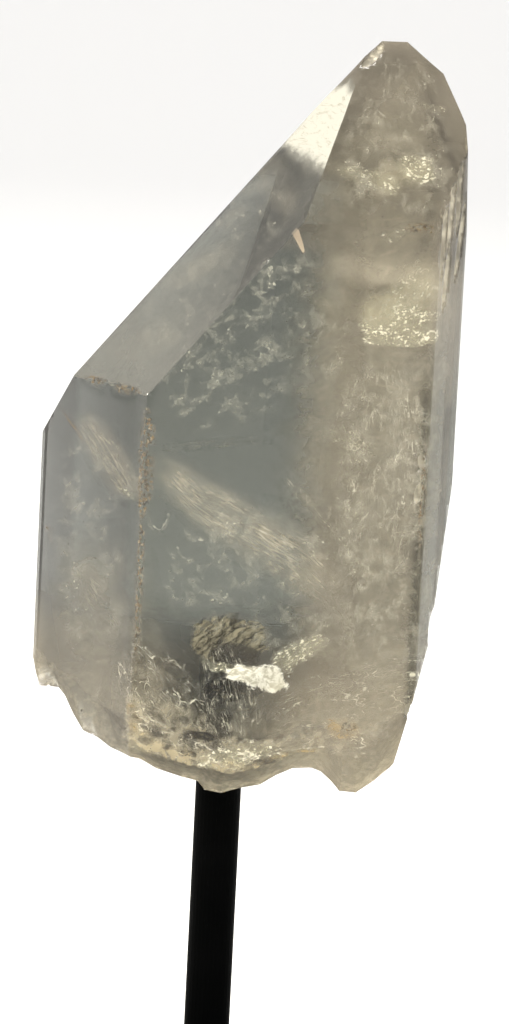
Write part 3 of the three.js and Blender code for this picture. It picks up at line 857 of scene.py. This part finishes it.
    "flecks_upper": veil("flecks", (2, 7), 1.25, 52, (160, 420, 50), (220, 370, 76), (280, 330, 90),
        (350, 290, 80)),
    "flecks_lower": veil("flecks", (2, 7), 1.2, 53, (156, 540, 50), (220, 570, 84), (290, 590, 90),
        (380, 600, 70)),
    "flecks_left": veil("flecks", (1, 5), 1.1, 54, (86, 420, 30), (88, 500, 42), (90, 580, 42), (96, 660, 36),
        face="leftFront"),
}
veilMesh = {
    "grid": (72, 28),          # points along and across a sheet
    "cloudGrid": (130, 90),    # the same for a sheet of milk
    "rippleSize": 5 * mm,
    "ripple": 0.7 * mm,
    "leastDepth": 0.25 * mm,   # behind its face
    "unit": 0.01,              # metres for one unit of its UV map
    "leastRoom": 0.15 * mm,    # nearest that it comes to the crystal's surface
    "softRim": 0.4 * mm,       # how soon it fades there
    "cloudRim": 1.5 * mm,
}
veilTints = {
    "plain": (0.72, 0.68, 0.58, 1),
    # near white: the palest veils and threads, and the lit colour of the painted glints
    "bright": (0.98, 0.94, 0.80, 1),
    "cloud": (0.38, 0.345, 0.275, 1),
    "cloudPale": (0.50, 0.46, 0.375, 1),
    "smear": (0.012, 0.012, 0.011, 1),
    "scratch": (0.6, 0.57, 0.5, 1),
}


def veilSheet(name, spec):
    # A sheet over u along the path and v from side to side: the path's point at u, moved sideways
    # by v times the half width, seen through the face at a depth that runs from side to side.
    grid = veilMesh
    wide = spec["kind"] == "cloud"
    along, across = grid["cloudGrid"] if wide else grid["grid"]
    path = spec["path"]
    steps = np.r_[0, np.cumsum(np.linalg.norm(np.diff(path, axis=0), axis=1))]
    u = np.linspace(0, steps[-1], along)
    v = np.linspace(-1, 1, across)
    middle = np.stack([np.interp(u, steps, path[:, i]) for i in (0, 1)], 1)
    for _ in range(6):
        middle[1:-1] = (middle[:-2] + 2 * middle[1:-1] + middle[2:]) / 4
    half = np.interp(u, steps, spec["halfWidth"])
    slope = np.gradient(middle, axis=0)
    slope /= np.linalg.norm(slope, axis=1, keepdims=True)
    side = np.stack([-slope[:, 1], slope[:, 0]], 1)
    pixels = middle[:, None] + side[:, None] * (half[:, None] * v)[..., None]
    near, far = spec["depth"]
    depth = (near + (far - near) * (v + 1) / 2) * mm + np.zeros((along, 1))
    flat = np.concatenate([pixels.reshape(-1, 2) * view["scale"], np.zeros((pixels[..., 0].size, 1))], 1)
    wave = valueNoise(flat, grid["rippleSize"], spec["seed"]).reshape(depth.shape)
    depth = np.maximum(depth + grid["ripple"] * (2 * wave - 1), grid["leastDepth"])
    points = seenAt(pixels, spec["face"], depth).reshape(-1, 3)
    room = roomInside(points)
    i, j = np.meshgrid(np.arange(along - 1), np.arange(across - 1), indexing="ij")
    first = (i * across + j).ravel()
    faces = np.stack([first, first + across, first + across + 1, first + 1], 1)
    faces = faces[room[faces].min(axis=1) > grid["leastRoom"]]
    kept = np.unique(faces)           # points that no face uses are left out
    faces = np.searchsorted(kept, faces)
    mesh = makeMesh(name, points[kept], faces)
    length = steps[-1] * view["scale"] / grid["unit"]
    width = half.max() * 2 * view["scale"] / grid["unit"]
    uvAt = np.stack(np.broadcast_arrays(
        (u / steps[-1] * length)[:, None], ((v + 1) / 2 * width)[None]), -1).reshape(-1, 2)[kept]
    corners = np.empty(len(mesh.loops), int)
    mesh.loops.foreach_get("vertex_index", corners)
    mesh.uv_layers.new(name="veil").data.foreach_set("uv", uvAt[corners].ravel())
    ends = np.minimum(u, steps[-1] - u) / steps[-1] * 2
    sideFade = smooth(1 - np.abs(v), 0, 1 if wide else 0.75)
    if spec.get("hardSide"):          # a clean break along one side
        sideFade = np.where(v < 0, smooth(1 + v, 0, 0.06), sideFade)
    fade = smooth(ends, 0, 0.45)[:, None] * sideFade[None]
    softRim = grid["cloudRim"] if wide else grid["softRim"]
    fade = fade.ravel() * smooth(room, grid["leastRoom"], grid["leastRoom"] + softRim)
    setAttribute(mesh, "fade", fade[kept])
    return addObject(name, mesh)


def veilFinish(name, spec):
    kind = spec["kind"]
    finish = Finish(name + "_finish")
    noise, ramp, blend, largest = finish.noise, finish.ramp, finish.blend, finish.largest
    uv = finish.node("TexCoord", output="UV")
    fade = finish.attribute("fade")
    shift = (spec["seed"] * 3.7, spec["seed"] * 1.9, 0.0)
    run = uv * (1.0, spec.get("stretch", 1.0), 1.0) + shift
    cloud = noise(uv + shift, 2.6, 4, 0.62, 0.3)
    fine = noise(run, 14.0, 2, 0.7, 0.8)
    near = ramp(fade, 0.02, 0.5)
    tint = spec.get("colour", veilTints["bright" if spec.get("bright") else "plain"])
    if kind == "cloud":               # milk
        fibre = ramp(finish.ridged(uv * (1.5, 0.8, 1.0) + shift, 1.6), 1.3, 3.2)
        mottle = noise(uv * (1.0, 0.6, 1.0) + shift, 2.0, 4, 0.68, 0.6)
        edge = 4 * fade * (1 - fade)  # its rim wanders, most where it is half faded
        amount = (fade + 1.7 * edge * (mottle - 0.5)) * (0.7 + 0.8 * (cloud - 0.5) + 0.5 * fibre)
        mottle = ramp(mottle, 0.3, 0.7)
        pale = spec.get("colour", veilTints["cloudPale"])
        colour = blend(mottle, spec.get("colour", veilTints["cloud"]), pale)
    elif kind == "veil":              # a soft base with long fibres, gathered in patches
        long = uv * (0.75, 2.6 * spec.get("stretch", 1.0), 1.0) + shift
        fibre = ramp(finish.ridged(long + 0.06 * finish.noiseColour(uv + shift, 5.0), 2.2), 1.3, 3.3)
        dense = ramp(cloud + 0.35 * fade, 0.5, 0.95)
        amount = fade * (0.75 * cloud - 0.08) + 0.8 * dense * fibre * near
        colour = blend(fibre, (0.50, 0.45, 0.36, 1), veilTints["bright"])
    elif kind == "thread":            # fine broken lines over soft fibres
        long = run * (0.45, 1.0, 1.0)
        first = noise(long, 2.6, 2, 0.5, 0.3)
        second = noise(long + (5.1, 2.3, 0.0), 5.0, 2, 0.5, 0.4)
        line = largest(ramp(finish.away(first, 0.5), 0.013, 0.0),
                              ramp(finish.away(second, 0.48), 0.014, 0.0))
        gaps = ramp(noise(uv + shift, 5.0, 4, 0.6), 0.42, 0.6)
        soft = ramp(finish.ridged(long, 2.4), 1.2, 3.0)
        amount = near * gaps * line + 0.4 * fade * soft
        colour = blend(line, tint, spec.get("colour", veilTints["bright"]))
    elif kind == "frost":             # painted glints: small facets coloured near white as if they catch the light, over a soft base
        cells = finish.node("TexVoronoi", {"feature": "F1"}, {
            "Vector": run + 0.08 * finish.noiseColour(run, 12.0), "Scale": 22.0}, output="Color")
        cellValue, _, _ = finish.split(cells)
        rim = noise(uv + shift, 4.5, 4, 0.72, 0.4)
        ragged = ramp(fade + 2.2 * (rim - 0.5), 0.2, 1.3)
        paintedGlint = ramp(cellValue + 0.8 * (fine - 0.5) + 2.2 * (rim - 0.5), 0.7, 1.1)
        fibre = ramp(finish.ridged(run, 4.5, 0.65, 0.3), 1.5, 3.4)
        amount = ragged * (0.34 + 0.8 * paintedGlint + 0.45 * fibre)
        # painted shade: a darker copy of the tint where no glint is painted
        shade = tuple(0.54 * part for part in tint[:2]) + (0.45 * tint[2], 1)
        colour = blend(largest(paintedGlint, fibre), shade, tint)
    elif kind == "glow":              # painted highlight: a bright break coloured near white, with a feathered rim
        rim = noise(uv + shift, 7.0, 4, 0.75, 0.5)
        amount = ramp(fade + 2.0 * (rim - 0.5), 0.2, 0.65)
        colour = blend(ramp(rim, 0.4, 0.6), (0.55, 0.52, 0.42, 1), (1.0, 0.98, 0.90, 1))
    elif kind == "ridge":             # slanting streaks of cream and dark brown
        slanted = finish.node("Mapping", None, {"Vector": uv, "Location": shift, "Rotation": (0.0, 0.0, 0.7)})
        crest = ramp(noise(slanted * (1.3, 3.6, 1.0), 3.2, 4, 0.66, 0.6), 0.38, 0.64)
        rim = noise(uv + shift, 5.0, 3, 0.7, 0.3)
        amount = ramp(fade + 1.7 * (rim - 0.5), 0.15, 0.9)
        colour = blend(crest, (0.035, 0.028, 0.014, 1), (0.56, 0.49, 0.34, 1))
    elif kind == "smear":
        amount = ramp(fade + 0.6 * (fine - 0.5) + 0.5 * (cloud - 0.5), 0.12, 0.7)
        dark = spec.get("colour", veilTints["smear"])
        colour = blend(ramp(fine, 0.5, 0.7), dark, spec.get("colour", (0.08, 0.066, 0.04, 1)))
    elif kind == "blotch":            # ragged blots of one colour
        blot = noise(uv + shift, 4.0, 4, 0.7, 0.4)
        amount = near * ramp(blot + 0.12 * fade, 0.5, 0.72)
        colour = spec["colour"]
    elif kind == "scratch":
        amount = ramp(fade, 0.1, 0.6)
        colour = veilTints["scratch"]
    else:                             # flecks: soft mottles, sparse dots and short hairs
        cell = finish.node("TexVoronoi", {"feature": "F1"}, {"Vector": run, "Scale": 9.0})
        dots = ramp(cell, 0.11, 0.04) * ramp(cloud, 0.46, 0.56)
        hairs = ramp(finish.away(noise(run, 3.0, 1, 0.5, 1.2), 0.5), 0.014, 0.0)
        hairs = hairs * ramp(fine, 0.5, 0.6) * ramp(cloud, 0.48, 0.6)
        small = noise(run, 5.0, 3, 0.8, 0.6)
        mottle = ramp(cloud + 0.8 * (small - 0.5), 0.46, 0.8)
        amount = near * (0.95 * dots + 0.9 * hairs + 0.3 * mottle)
        colour = blend(mottle, veilTints["bright"], (0.60, 0.58, 0.50, 1))
    amount = ramp(amount * spec["amount"], 0.0, 1.0, "LINEAR")
    shader = finish.node("BsdfPrincipled", None, {
        "Base Color": colour, "Roughness": 0.4, "Specular IOR Level": 0.0, "Alpha": amount})
    return finish.surface(shader)


for name, spec in veils.items():
    sheet = veilSheet(name, spec)
    sheet.data.materials.append(veilFinish(name, spec))
    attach(sheet, "root")
print("veils made:", len(veils))

# Stand: satin black paint
paint = {"colour": (0.0004, 0.0005, 0.0005, 1), "worn": (0.0014, 0.0014, 0.0015, 1)}


def blackFinish(name):
    finish = Finish(name)
    place = finish.node("TexCoord", output="Object")
    grain = finish.noise(place, 900, 3)
    cloud = finish.noise(place, 60, 3)
    colour = finish.blend(finish.ramp(cloud, 0.45, 0.75) * 0.5, paint["colour"], paint["worn"])
    shader = finish.node("BsdfPrincipled", None, {
        "Base Color": colour, "Roughness": 0.55 + 0.15 * (cloud - 0.5),
        "Specular IOR Level": 0.01, "Normal": finish.bump(grain, 0.1, 0.1 * mm)})
    return finish.surface(shader)


for node in ("stand_rod", "stand_base"):
    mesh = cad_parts[node].data
    mesh.materials.clear()
    mesh.materials.append(blackFinish(node + "_paint"))
print("stand painted")
